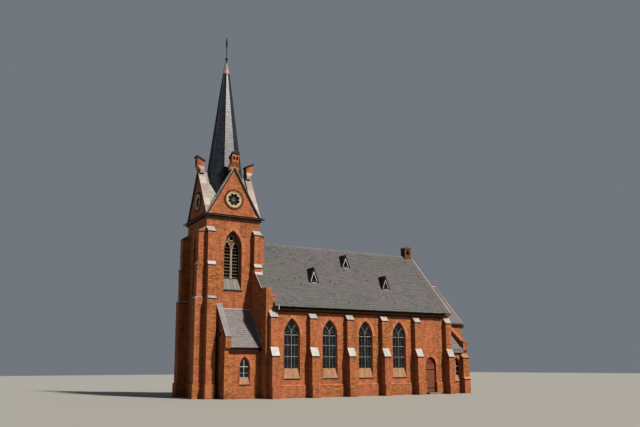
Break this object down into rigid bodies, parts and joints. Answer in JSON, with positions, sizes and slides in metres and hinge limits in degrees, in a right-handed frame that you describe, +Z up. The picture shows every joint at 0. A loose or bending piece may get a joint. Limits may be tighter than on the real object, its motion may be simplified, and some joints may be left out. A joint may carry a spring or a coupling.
{
  "type": "church building",
  "caption": "Brick church with a west tower under a slated spire, buttressed nave, lean-to annexes, chancel, sacristy and a hinged side door.",
  "frame": {"origin": "on the ground, on the axis of the spire", "axes": "+X east along the nave, +Y north, +Z up"},
  "size_m": [24.6, 10.514, 27.2],
  "materials": {
    "brick": "orange-red facing brick with pale joints",
    "slate": "grey roof slates with a faint purple tint",
    "dark_slate": "dark blue-black spire slates with a sheen",
    "stone": "cream dressed stone",
    "lead": "dull pinkish lead",
    "dark_metal": "dark gutter and moulded course",
    "glazing": "dark leaded glass",
    "oak": "red-brown stained boards",
    "paving": "grey stone slab"
  },
  "bodies": {
    "building": {"tower_corner_south_west": "brick", "tower_corner_south_east": "brick", "tower_corner_north_east": "brick", "tower_corner_north_west": "brick", "tower_wall_south": "brick", "tower_wall_east": "brick", "tower_wall_north": "brick", "tower_wall_west": "brick", "west_doors": "oak", "belfry_tracery_south": "stone", "belfry_tracery_east": "stone", "belfry_tracery_north": "stone", "belfry_tracery_west": "stone", "tower_gable_south": "brick", "tower_gable_east": "brick", "tower_gable_north": "brick", "tower_gable_west": "brick", "tower_cornice": "dark_metal", "tower_roof": "slate", "spire": "dark_slate", "spire_finial": "lead", "nave_wall_south": "brick", "nave_wall_south_inner_leaf": "brick", "nave_glazing_south": "glazing", "nave_wall_north": "brick", "nave_wall_north_inner_leaf": "brick", "nave_glazing_north": "glazing", "nave_buttresses_north": "brick", "nave_buttresses_south": "brick", "nave_buttress_south_east": "brick", "wall_west_of_south_door": "brick", "wall_east_of_south_door": "brick", "wall_over_south_door": "brick", "nave_west_wing_south": "brick", "nave_west_wing_north": "brick", "nave_wall_east": "brick", "nave_roof": "slate", "south_door_frame": "stone", "south_door_step": "paving", "annex_west_wall_south": "brick", "annex_west_wall_north": "brick", "annex_wall_south": "brick", "annex_wall_north": "brick", "annex_roof_south": "slate", "annex_roof_north": "slate", "annex_window_south": "glazing", "annex_window_north": "glazing", "annex_floor_south": "paving", "annex_floor_north": "paving", "chancel_walls": "brick", "chancel_glazing": "glazing", "chancel_roof": "slate", "sacristy_walls": "brick", "sacristy_window": "glazing", "sacristy_roof": "slate", "sacristy_floor": "paving", "church_floor": "paving"},
    "side_door": {"south_door": "oak"}
  },
  "joints": [
    {"name": "south_door_hinge", "type": "hinge", "parent": "building", "child": "side_door", "pos_m": [15.7575, -4.432, 0.158], "axis": [0, 0, 1], "range_deg": [0, 90]}
  ]
}
